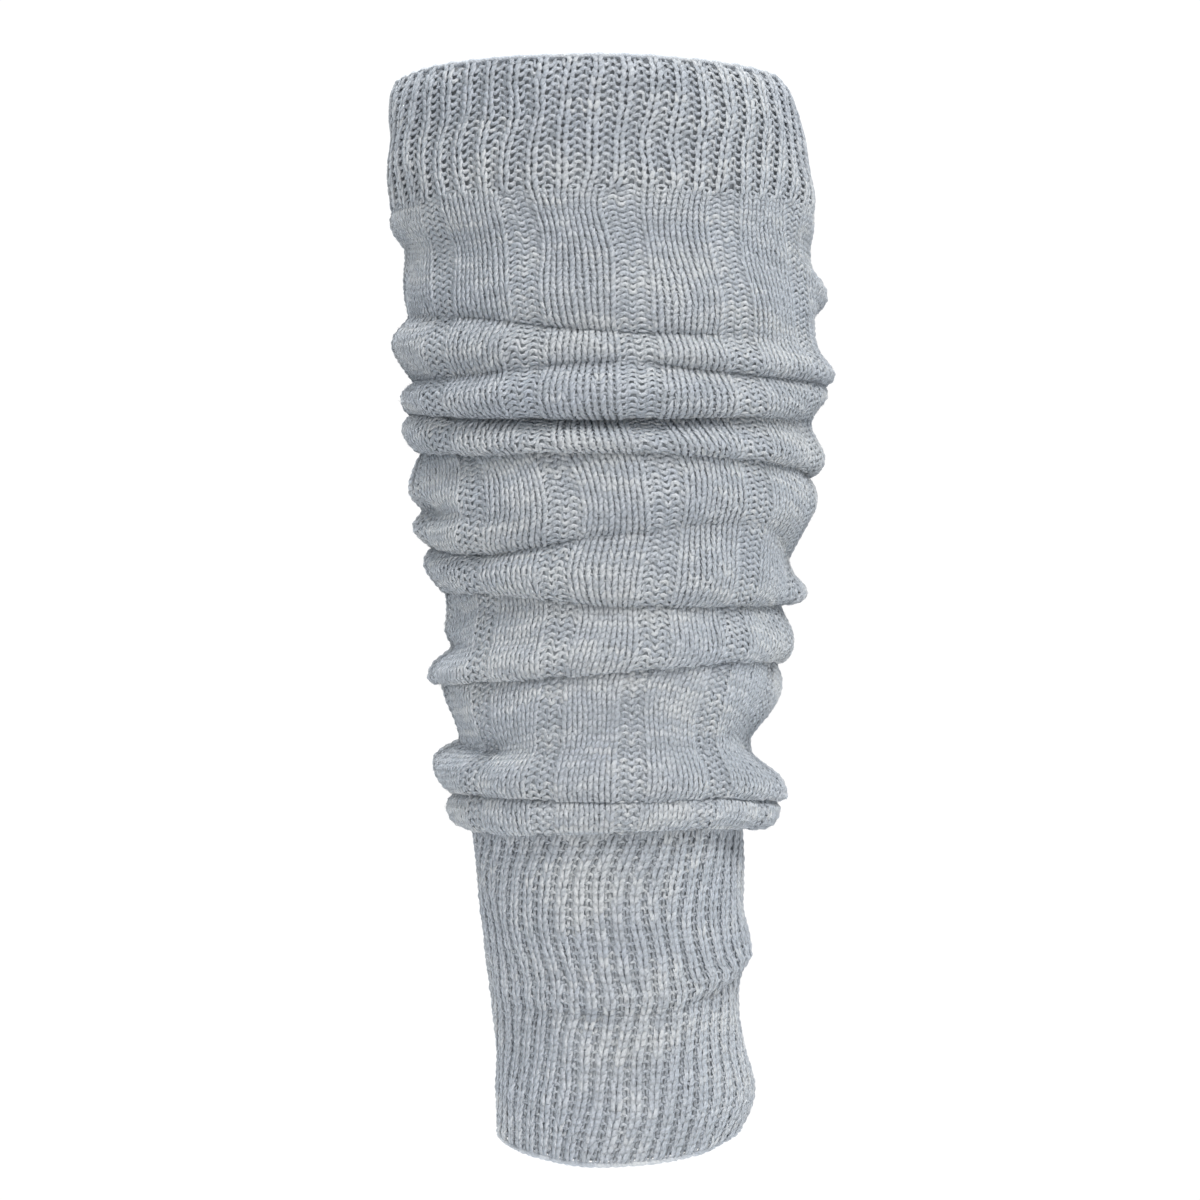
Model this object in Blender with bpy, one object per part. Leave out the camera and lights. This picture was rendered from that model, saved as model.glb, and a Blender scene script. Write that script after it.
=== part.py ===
"""A knitted leg warmer, standing open in the shape of a leg.

One tube of cloth in three lengths: a ribbed cuff round the calf, a long body in a wide rib that is
pushed down into folds, and a ribbed cuff round the ankle. Each length is a closed wall, raised in
ribs on the outside and plain on the inside, and the lengths are a fine gap apart at their joins.

Millimetres in the tables, metres in the meshes. +Z is up, -Y is the front and +X the right.
Azimuth runs from 0 at the front, through 90 at the right and 180 at the back, to 270 at the left.
A level is the height at which a point of the cloth would stand if its folds were smoothed out.
"""

from collections import namedtuple

import bpy
import numpy as np

MM = 0.001

# ---- The cloth -----------------------------------------------------------------------------------
HALF_WALL = 0.9  # from the middle of the cloth to its plain inside
SEAM_GAP = 0.3  # between two lengths of the tube
REPEATS = 12  # wide ribs of the body
RIBS = 48  # narrow ribs of each cuff, four to a repeat of the body
RIB_HEIGHT = 0.9  # how far a cuff's rib stands out of the groove beside it
PANEL_HEIGHT = 0.9  # how far the body's knit panels stand out of the purl channels
PANEL_CROWN = 0.15  # and how much further its middle stands than its edges
CHANNEL_SHARE = 0.31  # of a repeat that the purl channel takes
CHANNEL_FLOOR = 0.6  # of the channel that is its flat floor
FIRST_RIB = 5.6  # degrees from a purl channel to the first cuff rib beside it

# ---- Levels of the edges -------------------------------------------------------------------------
RIM = 11.0
CUFF_JOIN = -26.0
ANKLE_JOIN = -212.3

# ---- How many points the walls have --------------------------------------------------------------
CUFF_INSIDE_POINTS = 24
BODY_INSIDE_POINTS = 30
CUFF_ROWS = 4
ANKLE_ROWS_PER_FOLD = 5
BODY_ROWS_PER_FOLD = 4
SLOPE_STEP = 0.01  # for the slopes that give the cloth's normal, in degrees and in millimetres

# The tube with its folds smoothed out: half its width and depth at a level, and where its middle is.
Section = namedtuple("Section", "level half_width half_depth middle_x middle_y")
SECTIONS = (
    Section(11.0, 57.8, 58.4, -3.0, 0.5),
    Section(-4.5, 60.6, 60.4, -0.9, 0.8),
    Section(-22.5, 61.7, 61.3, 0.7, 1.5),
    Section(-36.0, 59.8, 60.8, 1.7, 2.2),
    Section(-56.0, 59.7, 60.8, 2.9, 3.0),
    Section(-75.0, 58.3, 59.8, 3.8, 3.4),
    Section(-96.0, 56.4, 58.3, 4.2, 3.4),
    Section(-113.0, 54.6, 56.3, 4.6, 3.0),
    Section(-128.0, 51.4, 53.3, 3.3, 2.4),
    Section(-143.0, 48.3, 50.3, 3.8, 1.8),
    Section(-158.0, 46.9, 48.3, 3.8, 1.2),
    Section(-176.0, 44.5, 45.8, 2.8, 0.6),
    Section(-190.0, 42.1, 43.8, 1.4, 0.2),
    Section(-212.3, 39.5, 40.8, 2.4, 0.0),
    Section(-232.5, 38.1, 39.3, 3.2, 0.0),
    Section(-246.0, 37.5, 38.8, 4.0, 0.3),
    Section(-259.5, 35.9, 37.8, 4.4, 0.5),
    Section(-274.5, 35.8, 37.3, 6.0, 0.5),
    Section(-290.0, 37.5, 37.8, 7.4, 0.3),
    Section(-306.0, 34.4, 36.4, 4.4, 0.0),
)

# How far the wales lean round the leg at a level, in degrees.
Sway = namedtuple("Sway", "level degrees")
SWAYS = (
    Sway(11.0, 11.6),
    Sway(0.0, 9.8),
    Sway(-15.0, 7.0),
    Sway(-30.0, 6.4),
    Sway(-56.0, 7.5),
    Sway(-82.0, 10.0),
    Sway(-112.0, 16.0),
    Sway(-128.0, 16.5),
    Sway(-148.0, 14.2),
    Sway(-169.0, 9.5),
    Sway(-187.0, 10.5),
    Sway(-200.0, 7.5),
    Sway(-212.0, 3.5),
    Sway(-222.0, -1.5),
    Sway(-234.0, -3.8),
    Sway(-250.0, -1.2),
    Sway(-258.0, 0.0),
    Sway(-270.0, -4.5),
    Sway(-294.0, -11.0),
    Sway(-306.0, -11.5),
)

# A value at four places round the leg.
Around = namedtuple("Around", "left front right back")

# The folds, from the top down: the level of each ridge, how far it stands out, how far the cloth
# fades away above and below it, and how far the deepest part of it sinks over what is below.
Fold = namedtuple("Fold", "name ridge depth above below sink")
FOLDS = (
    Fold("under_cuff", Around(-29, -33, -31, -34), Around(3.0, 0.4, 0.8, 1.5), 4.0, 4.0, 1.0),
    Fold("side_crease", Around(-50, -48, -49, -52), Around(0.3, 0.2, 3.0, 1.6), 5.0, 4.5, 1.5),
    Fold("first_roll", Around(-63, -63, -71, -65), Around(5.5, 2.6, 6.5, 4.0), 4.6, 5.0, 4.8),
    Fold("second_roll", Around(-79, -79, -83, -80), Around(5.0, 4.2, 1.8, 4.2), 4.2, 4.6, 4.4),
    Fold("third_roll", Around(-89, -92, -97, -93), Around(5.2, 3.6, 6.5, 3.6), 5.0, 4.8, 4.8),
    Fold("shoulder", Around(-104, -106, -113, -107), Around(4.8, 0.6, 4.8, 4.6), 6.5, 5.6, 4.0),
    Fold("left_sweep", Around(-117, -119, -123, -119), Around(6.0, 3.2, 1.4, 2.6), 6.0, 4.8, 4.5),
    Fold("fourth_roll", Around(-130, -138, -135, -133), Around(4.6, 4.0, 8.0, 5.0), 4.8, 5.0, 5.2),
    Fold("left_swell", Around(-147, -151, -146, -148), Around(3.6, 0.4, 2.6, 3.4), 5.0, 5.0, 2.5),
    Fold("fifth_roll", Around(-162, -156, -154, -158), Around(7.2, 3.0, 6.5, 5.0), 5.0, 5.0, 4.6),
    Fold("right_swell", Around(-173, -172, -169, -171), Around(0.6, 0.3, 3.6, 2.0), 7.0, 6.5, 1.5),
    Fold("sixth_roll", Around(-187, -192, -192, -190), Around(8.2, 4.6, 10.6, 6.5), 4.8, 6.0, 6.4),
    Fold("last_roll", Around(-202, -203, -202, -202), Around(6.2, 3.4, 10.5, 6.2), 5.2, 5.0, 5.4),
    Fold("ankle_fold", Around(-258, -256, -246, -254), Around(0.4, 2.0, 3.0, 2.2), 9.0, 5.0, 2.0),
)
BODY_FOLDS = FOLDS[:-1]
ANKLE_FOLDS = FOLDS[-1:]
HEM = Around(-301.8, -305.8, -299.4, -301.5)


def around(values, azimuth):
    """The value at an azimuth in degrees, on the smoothest wave through the four that are named."""
    turn = np.radians(azimuth)
    mean = sum(values) / 4
    front_to_back = (values.front - values.back) / 2
    right_to_left = (values.right - values.left) / 2
    ends_over_sides = (values.front + values.back - values.left - values.right) / 4
    return mean + front_to_back * np.cos(turn) + right_to_left * np.sin(turn) + ends_over_sides * np.cos(2 * turn)


def smooth_through(places, values, at):
    """Values on a curve through the given points whose slope at each is that of its neighbours."""
    places, values = np.asarray(places, float), np.asarray(values, float)
    if places[0] > places[-1]:
        places, values = places[::-1], values[::-1]
    slopes = np.gradient(values, places)
    at = np.clip(at, places[0], places[-1])
    i = np.clip(np.searchsorted(places, at) - 1, 0, len(places) - 2)
    width = places[i + 1] - places[i]
    t = (at - places[i]) / width
    start, end = values[i], values[i + 1]
    return (
        start * (1 + 2 * t) * (1 - t) ** 2
        + end * t**2 * (3 - 2 * t)
        + slopes[i] * width * t * (1 - t) ** 2
        - slopes[i + 1] * width * t**2 * (1 - t)
    )


def column(rows, name):
    """One named column of a table."""
    return [getattr(row, name) for row in rows]


def section_value(name, level):
    """One of the tube's sizes at a level."""
    return smooth_through(column(SECTIONS, "level"), column(SECTIONS, name), level)


def sway(level):
    """How far the wales have leant round at a level, in degrees."""
    return smooth_through(column(SWAYS, "level"), column(SWAYS, "degrees"), level)


def middle_of_cloth(azimuth, level):
    """The point of the cloth's middle at an azimuth and a level, folds and all."""
    out, down = 0.0, 0.0
    for fold in FOLDS:
        distance = level - around(fold.ridge, azimuth)
        fade = np.where(distance > 0, fold.above, fold.below)
        swell = around(fold.depth, azimuth) * np.exp(-((distance / fade) ** 2))
        out = out + swell
        down = down + swell * fold.sink / max(fold.depth)
    turn = np.radians(azimuth)
    x = section_value("middle_x", level) + (section_value("half_width", level) + out) * np.sin(turn)
    y = section_value("middle_y", level) - (section_value("half_depth", level) + out) * np.cos(turn)
    return np.stack([x, y, level - down], axis=-1)


def moved_out(azimuth, level, distance):
    """The cloth's points, moved out of its middle along its normal; a negative distance moves in."""
    round_the_leg = middle_of_cloth(azimuth + SLOPE_STEP, level) - middle_of_cloth(azimuth - SLOPE_STEP, level)
    up_the_leg = middle_of_cloth(azimuth, level + SLOPE_STEP) - middle_of_cloth(azimuth, level - SLOPE_STEP)
    normal = np.cross(round_the_leg, up_the_leg)
    normal /= np.linalg.norm(normal, axis=-1, keepdims=True)
    return middle_of_cloth(azimuth, level) + normal * np.asarray(distance)[..., None]


def rib_columns():
    """Azimuths and heights of a cuff's points before it sways: each rib's two shoulders and a groove."""
    pitch = 360 / RIBS
    places = [(-0.19, RIB_HEIGHT), (0.19, RIB_HEIGHT), (0.5, 0.0)]
    azimuths = [FIRST_RIB + pitch * (rib + share) for rib in range(RIBS) for share, _ in places]
    return np.array(azimuths), np.array([height for _ in range(RIBS) for _, height in places])


def panel_columns():
    """Azimuths and heights of the body's points: a channel's floor, its two edges, and a panel's crown."""
    pitch = 360 / REPEATS
    edge = CHANNEL_SHARE / 2
    floor = edge * CHANNEL_FLOOR
    crown = PANEL_HEIGHT + PANEL_CROWN
    places = [(-floor, 0.0), (floor, 0.0), (edge, PANEL_HEIGHT), (0.5, crown), (1 - edge, PANEL_HEIGHT)]
    azimuths = [pitch * (repeat + share) for repeat in range(REPEATS) for share, _ in places]
    return np.array(azimuths), np.array([height for _ in range(REPEATS) for _, height in places])


def rows_through(lines, per_gap):
    """Rows from the first line to the last: each line, and evenly spaced rows between each two."""
    rows = [
        start + (end - start) * step / per_gap
        for start, end in zip(lines[:-1], lines[1:])
        for step in range(per_gap)
    ]
    return rows + [lines[-1]]


def level_lines(columns, top, folds, bottom, per_gap):
    """The level of each row at each column: rows follow the folds, so that each ridge has its own."""
    lines = [around(top, columns)] + [around(fold.ridge, columns) for fold in folds] + [around(bottom, columns)]
    return np.array(rows_through(lines, per_gap))


def wall_points(columns, levels, distance):
    """A grid of points on one side of the wall, in metres, with its columns swayed at each level."""
    azimuth = columns[None, :] + sway(levels)
    return moved_out(azimuth, levels, np.broadcast_to(distance, levels.shape)) * MM


def grid_faces(first, rows, points, outward):
    """Faces of a closed ring of points, row under row, turned outward or inward."""
    faces = []
    for row in range(rows - 1):
        for point in range(points):
            after = (point + 1) % points
            upper, lower = first + row * points, first + (row + 1) * points
            face = (upper + point, lower + point, lower + after, upper + after)
            faces.append(face if outward else face[::-1])
    return faces


def rim_faces(outer, outer_points, inner, inner_points, upward):
    """Faces of the edge between an outer and an inner ring that has a whole fraction of its points."""
    share = outer_points // inner_points
    faces = []
    for point in range(inner_points):
        here, after = inner + point, inner + (point + 1) % inner_points
        for step in range(share):
            a = outer + point * share + step
            b = outer + (point * share + step + 1) % outer_points
            corner = here if step < share / 2 else after
            faces.append((a, b, corner) if upward else (b, a, corner))
            if step == (share - 1) // 2:
                faces.append((here, b, after) if upward else (b, here, after))
    return faces


def material(name, colour):
    """A matt knitted fabric of one colour."""
    made = bpy.data.materials.new(name)
    made.use_nodes = True
    shader = made.node_tree.nodes["Principled BSDF"]
    shader.inputs["Base Color"].default_value = (*colour, 1.0)
    shader.inputs["Roughness"].default_value = 0.9
    shader.inputs["Metallic"].default_value = 0.0
    return made


def knitted_tube(name, outer, inner, fabric):
    """A closed wall from its outer and inner grids of points, which run from the top down."""
    outer_rows, outer_points = outer.shape[:2]
    inner_rows, inner_points = inner.shape[:2]
    first_inner = outer_rows * outer_points
    points = np.concatenate([outer.reshape(-1, 3), inner.reshape(-1, 3)])
    last_outer = (outer_rows - 1) * outer_points
    last_inner = first_inner + (inner_rows - 1) * inner_points
    faces = grid_faces(0, outer_rows, outer_points, outward=True)
    faces += grid_faces(first_inner, inner_rows, inner_points, outward=False)
    faces += rim_faces(0, outer_points, first_inner, inner_points, upward=True)
    faces += rim_faces(last_outer, outer_points, last_inner, inner_points, upward=False)
    mesh = bpy.data.meshes.new(name)
    mesh.from_pydata(points.tolist(), [], faces)
    mesh.materials.append(fabric)
    mesh.shade_smooth()
    tube = bpy.data.objects.new(name, mesh)
    bpy.context.scene.collection.objects.link(tube)
    return tube


def tube_length(name, columns, heights, inside_points, lines, fabric):
    """One length of the tube: its raised outside, its plain inside and its two edges."""
    inside_columns = columns[:: len(columns) // inside_points]
    outer = wall_points(columns, lines(columns), HALF_WALL + heights[None, :])
    inner = wall_points(inside_columns, lines(inside_columns), -HALF_WALL)
    return knitted_tube(name, outer, inner, fabric)


def level_ring(level):
    """The same level all round."""
    return Around(level, level, level, level)


def build():
    """Clear the scene and make the three lengths of the leg warmer."""
    for old in list(bpy.data.objects):
        bpy.data.objects.remove(old)
    melange = material("melange_knit", (0.50, 0.53, 0.56))
    ribs, rib_heights = rib_columns()
    panels, panel_heights = panel_columns()

    def cuff_lines(columns):
        return level_lines(columns, level_ring(RIM), [], level_ring(CUFF_JOIN + SEAM_GAP / 2), CUFF_ROWS)

    def body_lines(columns):
        top, bottom = level_ring(CUFF_JOIN - SEAM_GAP / 2), level_ring(ANKLE_JOIN + SEAM_GAP / 2)
        return level_lines(columns, top, BODY_FOLDS, bottom, BODY_ROWS_PER_FOLD)

    def ankle_lines(columns):
        top = level_ring(ANKLE_JOIN - SEAM_GAP / 2)
        return level_lines(columns, top, ANKLE_FOLDS, HEM, ANKLE_ROWS_PER_FOLD)

    tube_length("top_cuff", ribs, rib_heights, CUFF_INSIDE_POINTS, cuff_lines, melange)
    tube_length("leg_body", panels, panel_heights, BODY_INSIDE_POINTS, body_lines, melange)
    tube_length("ankle_cuff", ribs, rib_heights, CUFF_INSIDE_POINTS, ankle_lines, melange)


build()
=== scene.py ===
"""The looks of a knitted leg warmer: every stitch of its yarn over a thin shell of cloth.

The tube is one form in three lengths. A point of the cloth has an azimuth round the leg, 0 at the
front, 90 at the right and 180 at the back, and a level, the height at which it would stand if the
folds were smoothed out. The yarn runs round the tube in courses, and its loops stand under each
other in wales. A knit wale shows the two legs of its loops, a purl wale their heads and feet.

Form sizes are in millimetres and meshes in metres. +Z is up, -Y the front and +X the right.
"""

import logging
import math
from dataclasses import dataclass, field
from enum import Enum
from typing import Any, Sequence

import bpy
import numpy as np
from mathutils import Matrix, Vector


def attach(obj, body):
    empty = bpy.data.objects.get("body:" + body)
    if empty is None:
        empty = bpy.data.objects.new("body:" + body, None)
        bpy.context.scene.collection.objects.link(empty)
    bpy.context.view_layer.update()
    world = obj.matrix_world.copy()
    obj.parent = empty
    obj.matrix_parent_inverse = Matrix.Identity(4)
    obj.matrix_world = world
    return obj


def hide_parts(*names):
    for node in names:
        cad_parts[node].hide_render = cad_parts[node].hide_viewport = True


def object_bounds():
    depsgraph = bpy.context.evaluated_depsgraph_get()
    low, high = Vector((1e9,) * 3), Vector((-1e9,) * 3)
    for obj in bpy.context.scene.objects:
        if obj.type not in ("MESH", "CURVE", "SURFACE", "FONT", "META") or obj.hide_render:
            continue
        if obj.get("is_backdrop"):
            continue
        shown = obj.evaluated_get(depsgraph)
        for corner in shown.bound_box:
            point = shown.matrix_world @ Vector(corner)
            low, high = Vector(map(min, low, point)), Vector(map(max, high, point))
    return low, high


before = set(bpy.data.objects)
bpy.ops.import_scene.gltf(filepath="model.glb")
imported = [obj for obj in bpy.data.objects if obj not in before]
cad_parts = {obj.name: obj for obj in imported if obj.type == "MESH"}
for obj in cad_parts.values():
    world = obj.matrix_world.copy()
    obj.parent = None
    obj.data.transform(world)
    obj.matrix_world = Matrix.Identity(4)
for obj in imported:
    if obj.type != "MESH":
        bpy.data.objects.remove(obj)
CAD_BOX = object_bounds()

MM = 0.001
WALES = 96
SEED = 2611
BAKE_MAP = "OFBake"
LOG = logging.getLogger("leg_warmer")


# ---- The form of the cloth -----------------------------------------------------------------------


@dataclass(frozen=True)
class Around:
    """A value at eight places round the leg, an eighth of a turn apart."""

    left: float
    left_front: float
    front: float
    right_front: float
    right: float
    right_back: float
    back: float
    left_back: float

    @staticmethod
    def ring(value: float) -> "Around":
        """The same value all round."""
        return Around(*[value] * 8)

    def at(self, azimuth: np.ndarray) -> np.ndarray:
        """The value at an azimuth, on a closed cubic curve with its slopes from the neighbours.

        Args:
            azimuth: Degrees round the leg.

        Returns:
            The value at each azimuth.
        """
        values = np.array([self.front, self.right_front, self.right, self.right_back,
                           self.back, self.left_back, self.left, self.left_front])
        slopes = (np.roll(values, -1) - np.roll(values, 1)) / 2
        place = np.mod(azimuth, 360.0) / 45.0
        i = np.floor(place).astype(int) % 8
        t = place - np.floor(place)
        after = (i + 1) % 8
        return cubic(values[i], values[after], slopes[i], slopes[after], t)


@dataclass(frozen=True)
class Section:
    """The tube with its folds smoothed out, at one level: half sizes and where its middle is."""

    level: float
    half_width: float
    half_depth: float
    middle_x: float
    middle_y: float


@dataclass(frozen=True)
class Sway:
    """How far the wales have leant round the leg at a level, in degrees, at three places."""

    level: float
    left: float
    front: float
    right: float


@dataclass(frozen=True)
class Roll:
    """A roll of slack cloth between two creases that run round the leg.

    Its edge is the height at which it seems to end, its tuck how far it hangs over the crease
    there, its bulge how far its crest stands out of the tube and its foot how far that crease
    does. Its crest is the share of the way down at which it stands out most.

    The fullness is the power that rounds a tight arch, and the full tuck is the one that makes an
    arch tight, to which the tuck above adds by its weight. The lift is how far a tuck raises its
    crease, and the lowest the share of the way down at which the cloth hangs furthest.
    """

    name: str
    edge: Around
    tuck: Around
    bulge: Around
    foot: Around
    crest: Around
    fullness: float = 2.4
    full_tuck: float = 2.5
    weight_above: float = 0.5
    lift: float = 1.26
    lowest: float = 0.78

    def crease(self, azimuth: np.ndarray, top: np.ndarray) -> np.ndarray:
        """The level of the crease under the roll: over its edge, by the square of its tuck."""
        edge = self.edge.at(azimuth)
        return edge + self.lift * self.tuck.at(azimuth) ** 2 / (top - edge)

    def swell(
        self, azimuth: np.ndarray, share: np.ndarray, foot: np.ndarray, tuck: np.ndarray
    ) -> tuple[np.ndarray, np.ndarray]:
        """How far the roll moves the cloth out and down.

        The share is bent so that it passes a half at the crest. Outward, the cloth goes from one
        foot to the other by the bent share, plus an arch that stands at the bulge at the crest:
        one less a power of the distance from there where the creases are tight, and a cosine
        where they are slack. Downward it is the tuck times a parabola of another bent share.

        Args:
            azimuth: Degrees round the leg.
            share: Nought at the crease above and one at the crease below.
            foot: How far the crease above stands out of the tube.
            tuck: How far the roll above hangs over that crease.

        Returns:
            Millimetres out and down.
        """
        crest = self.crest.at(azimuth)
        late = bend(share, np.maximum(crest, 0.5))
        early = 1 - bend(1 - share, 1 - np.minimum(crest, 0.5))
        bent = np.where(crest > 0.5, late, early)
        next_tuck, next_foot = self.tuck.at(azimuth), self.foot.at(azimuth)
        held_in = self.weight_above * tuck * (1 - share) + next_tuck * share
        tightness = np.clip(held_in / self.full_tuck, 0, 1)
        slack_arch = 0.5 - 0.5 * np.cos(2 * np.pi * bent)
        tight_arch = 1 - np.abs(2 * bent - 1) ** self.fullness
        arch = slack_arch + (tight_arch - slack_arch) * tightness
        rise = self.bulge.at(azimuth) - (foot + next_foot) / 2
        hang = bend(share, self.lowest)
        out = foot + (next_foot - foot) * bent + rise * arch
        return out, next_tuck * 4 * hang * (1 - hang)


@dataclass(frozen=True)
class Crease:
    """A short soft ridge, or a trough where its depth is negative.

    Its line passes through its azimuth and level and rises by its slant, in millimetres a degree.
    """

    azimuth: float
    level: float
    reach: float
    width: float
    depth: float
    slant: float = 0.0

    def swell(self, azimuth: np.ndarray, level: np.ndarray) -> np.ndarray:
        """How far the crease moves the cloth: its depth times a bell along it and one across it."""
        away = (azimuth - self.azimuth + 180) % 360 - 180
        across = level - self.level - self.slant * away
        return self.depth * np.exp(-((away / self.reach) ** 2) - (across / self.width) ** 2)


@dataclass(frozen=True)
class Wave:
    """A wave round the leg: its height, how often it comes, how steeply it climbs, its start."""

    height: float
    times: int
    climb: float
    start: float = 0.0

    def at(self, turn: np.ndarray, level: np.ndarray) -> np.ndarray:
        """Its height times the sine of its times round, the level over its climb and its start."""
        return self.height * np.sin(self.times * turn + level / self.climb + self.start)


def bend(share: np.ndarray, half: Any) -> np.ndarray:
    """A share to the power that makes it a half at the given share."""
    return share ** (math.log(0.5) / np.log(half))


def cubic(
    start: np.ndarray, end: np.ndarray, slope: np.ndarray, end_slope: np.ndarray, t: np.ndarray
) -> np.ndarray:
    """A point on the cubic from start to end with these slopes, at a share of the way."""
    return (
        start * (1 + 2 * t) * (1 - t) ** 2
        + end * t**2 * (3 - 2 * t)
        + slope * t * (1 - t) ** 2
        - end_slope * t**2 * (1 - t)
    )


def smooth_through(places: Sequence[float], values: Sequence[float], at: np.ndarray) -> np.ndarray:
    """Values on a cubic curve through points, whose slope at each is that of its neighbours.

    Args:
        places: Where the points are, rising or falling all the way.
        values: The value at each point.
        at: Where the values are wanted. Past the ends they stay as at the ends.

    Returns:
        The value at each place that is asked for.
    """
    x, y = np.asarray(places, float), np.asarray(values, float)
    if x[0] > x[-1]:
        x, y = x[::-1], y[::-1]
    slopes = np.gradient(y, x)
    at = np.clip(at, x[0], x[-1])
    i = np.clip(np.searchsorted(x, at) - 1, 0, len(x) - 2)
    width = x[i + 1] - x[i]
    return cubic(y[i], y[i + 1], slopes[i] * width, slopes[i + 1] * width, (at - x[i]) / width)


def read_table(rows: Sequence[Any], names: Sequence[str], level: np.ndarray) -> list[np.ndarray]:
    """Some columns of a table at a level, each on a smooth curve through its rows.

    Args:
        rows: Sections or sways, from the top down.
        names: The names of the columns.
        level: Height with the folds smoothed out, in millimetres.

    Returns:
        The value of each column at each level.
    """
    levels = [row.level for row in rows]
    return [smooth_through(levels, [getattr(row, name) for row in rows], level) for name in names]


@dataclass(frozen=True)
class LegForm:
    """The middle of the cloth as a function of azimuth and level.

    The wobbles are chance leanings of the wales in degrees, and the lumps chance swellings of the
    cloth in millimetres.
    """

    sections: tuple[Section, ...]
    sways: tuple[Sway, ...]
    first_crease: Around
    rolls: tuple[Roll, ...]
    creases: tuple[Crease, ...]
    wobbles: tuple[Wave, ...] = (Wave(0.42, 5, 4.3), Wave(0.34, 13, -6.1, 1.0))
    lumps: tuple[Wave, ...] = (Wave(0.3, 3, 8.3), Wave(0.26, 7, -6.7, 2.0), Wave(0.2, 12, 4.9, 4.0))
    slope_step: float = 0.01

    def sway(self, azimuth: np.ndarray, level: np.ndarray) -> np.ndarray:
        """How far the wales have leant round the leg.

        It goes through its values at the left, the front and the right with the sine and cosine
        of the azimuth, and the wobbles come on top.

        Args:
            azimuth: Degrees round the leg.
            level: Height with the folds smoothed out, in millimetres.

        Returns:
            Degrees to the right.
        """
        left, front, right = read_table(self.sways, ("left", "front", "right"), level)
        turn = np.radians(azimuth)
        at_the_sides = (right - left) / 2 * np.sin(turn)
        at_the_back = ((left + right) / 2 - front) * (1 - np.cos(turn))
        wobble = sum(wave.at(turn, level) for wave in self.wobbles)
        return front + at_the_sides + at_the_back + wobble

    def slack(self, azimuth: np.ndarray, level: np.ndarray) -> tuple[np.ndarray, np.ndarray]:
        """How far the lumps, rolls and creases move the cloth.

        Args:
            azimuth: Degrees round the leg.
            level: Height with the folds smoothed out, in millimetres.

        Returns:
            Millimetres out and down.
        """
        out = sum(wave.at(np.radians(azimuth), level) for wave in self.lumps)
        down = np.zeros_like(out)
        top = self.first_crease.at(azimuth)
        foot, tuck = np.zeros_like(top), np.zeros_like(top)
        for roll in self.rolls:
            bottom = roll.crease(azimuth, top)
            share = (top - level) / (top - bottom)
            inside = (share > 0) & (share <= 1)
            swell, hang = roll.swell(azimuth, np.clip(share, 0, 1), foot, tuck)
            out += np.where(inside, swell, 0)
            down += np.where(inside, hang, 0)
            top, foot, tuck = bottom, roll.foot.at(azimuth), roll.tuck.at(azimuth)
        for crease in self.creases:
            out += crease.swell(azimuth, level)
        return out, down

    def middle(self, azimuth: np.ndarray, level: np.ndarray) -> np.ndarray:
        """The point of the cloth's middle at an azimuth and a level.

        The half sizes of the section there, plus what the slack moves it out, times sine and
        cosine of the azimuth. The height is the level less what the slack moves it down.

        Args:
            azimuth: Degrees round the leg.
            level: Height with the folds smoothed out, in millimetres.

        Returns:
            Points in millimetres, with x, y and z along the last axis.
        """
        out, down = self.slack(azimuth, level)
        names = ("middle_x", "middle_y", "half_width", "half_depth")
        middle_x, middle_y, half_width, half_depth = read_table(self.sections, names, level)
        turn = np.radians(azimuth)
        x = middle_x + (half_width + out) * np.sin(turn)
        y = middle_y - (half_depth + out) * np.cos(turn)
        return np.stack([x, y, level - down], axis=-1)

    def normal(self, azimuth: np.ndarray, level: np.ndarray) -> np.ndarray:
        """The way out of the cloth: the cross product of its slopes round and up the leg."""
        step = self.slope_step
        round_the_leg = self.middle(azimuth + step, level) - self.middle(azimuth - step, level)
        up_the_leg = self.middle(azimuth, level + step) - self.middle(azimuth, level - step)
        return unit(np.cross(round_the_leg, up_the_leg))


def unit(vectors: np.ndarray) -> np.ndarray:
    """Vectors of length one that point the same ways."""
    return vectors / np.linalg.norm(vectors, axis=-1, keepdims=True)


SECTIONS = (
    Section(11.0, 57.2, 57.4, -2.9, 0.5),
    Section(7.5, 59.2, 59.2, -2.3, 0.6),
    Section(3.0, 60.1, 60.0, -1.8, 0.8),
    Section(-4.0, 60.8, 60.6, -0.8, 0.9),
    Section(-14.0, 61.8, 61.3, -0.6, 1.2),
    Section(-22.0, 62.4, 61.8, 0.6, 1.5),
    Section(-29.0, 62.0, 61.4, 0.9, 1.8),
    Section(-36.0, 60.4, 61.0, 1.7, 2.2),
    Section(-56.0, 59.8, 60.8, 2.9, 3.0),
    Section(-75.0, 58.3, 59.8, 3.8, 3.4),
    Section(-96.0, 56.4, 58.3, 4.2, 3.4),
    Section(-113.0, 54.6, 56.3, 4.6, 3.0),
    Section(-128.0, 51.4, 53.3, 3.3, 2.4),
    Section(-143.0, 48.3, 50.3, 3.8, 1.8),
    Section(-158.0, 46.9, 48.3, 3.8, 1.2),
    Section(-176.0, 44.5, 45.8, 2.8, 0.6),
    Section(-190.0, 42.1, 43.8, 1.4, 0.2),
    Section(-212.3, 39.5, 40.8, 2.4, 0.0),
    Section(-232.5, 38.1, 39.3, 3.2, 0.0),
    Section(-246.0, 37.5, 38.8, 4.0, 0.3),
    Section(-259.5, 35.9, 37.8, 4.4, 0.5),
    Section(-274.5, 35.8, 37.3, 6.0, 0.5),
    Section(-290.0, 37.5, 37.8, 7.4, 0.3),
    Section(-306.0, 34.4, 36.4, 4.4, 0.0),
)
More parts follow.
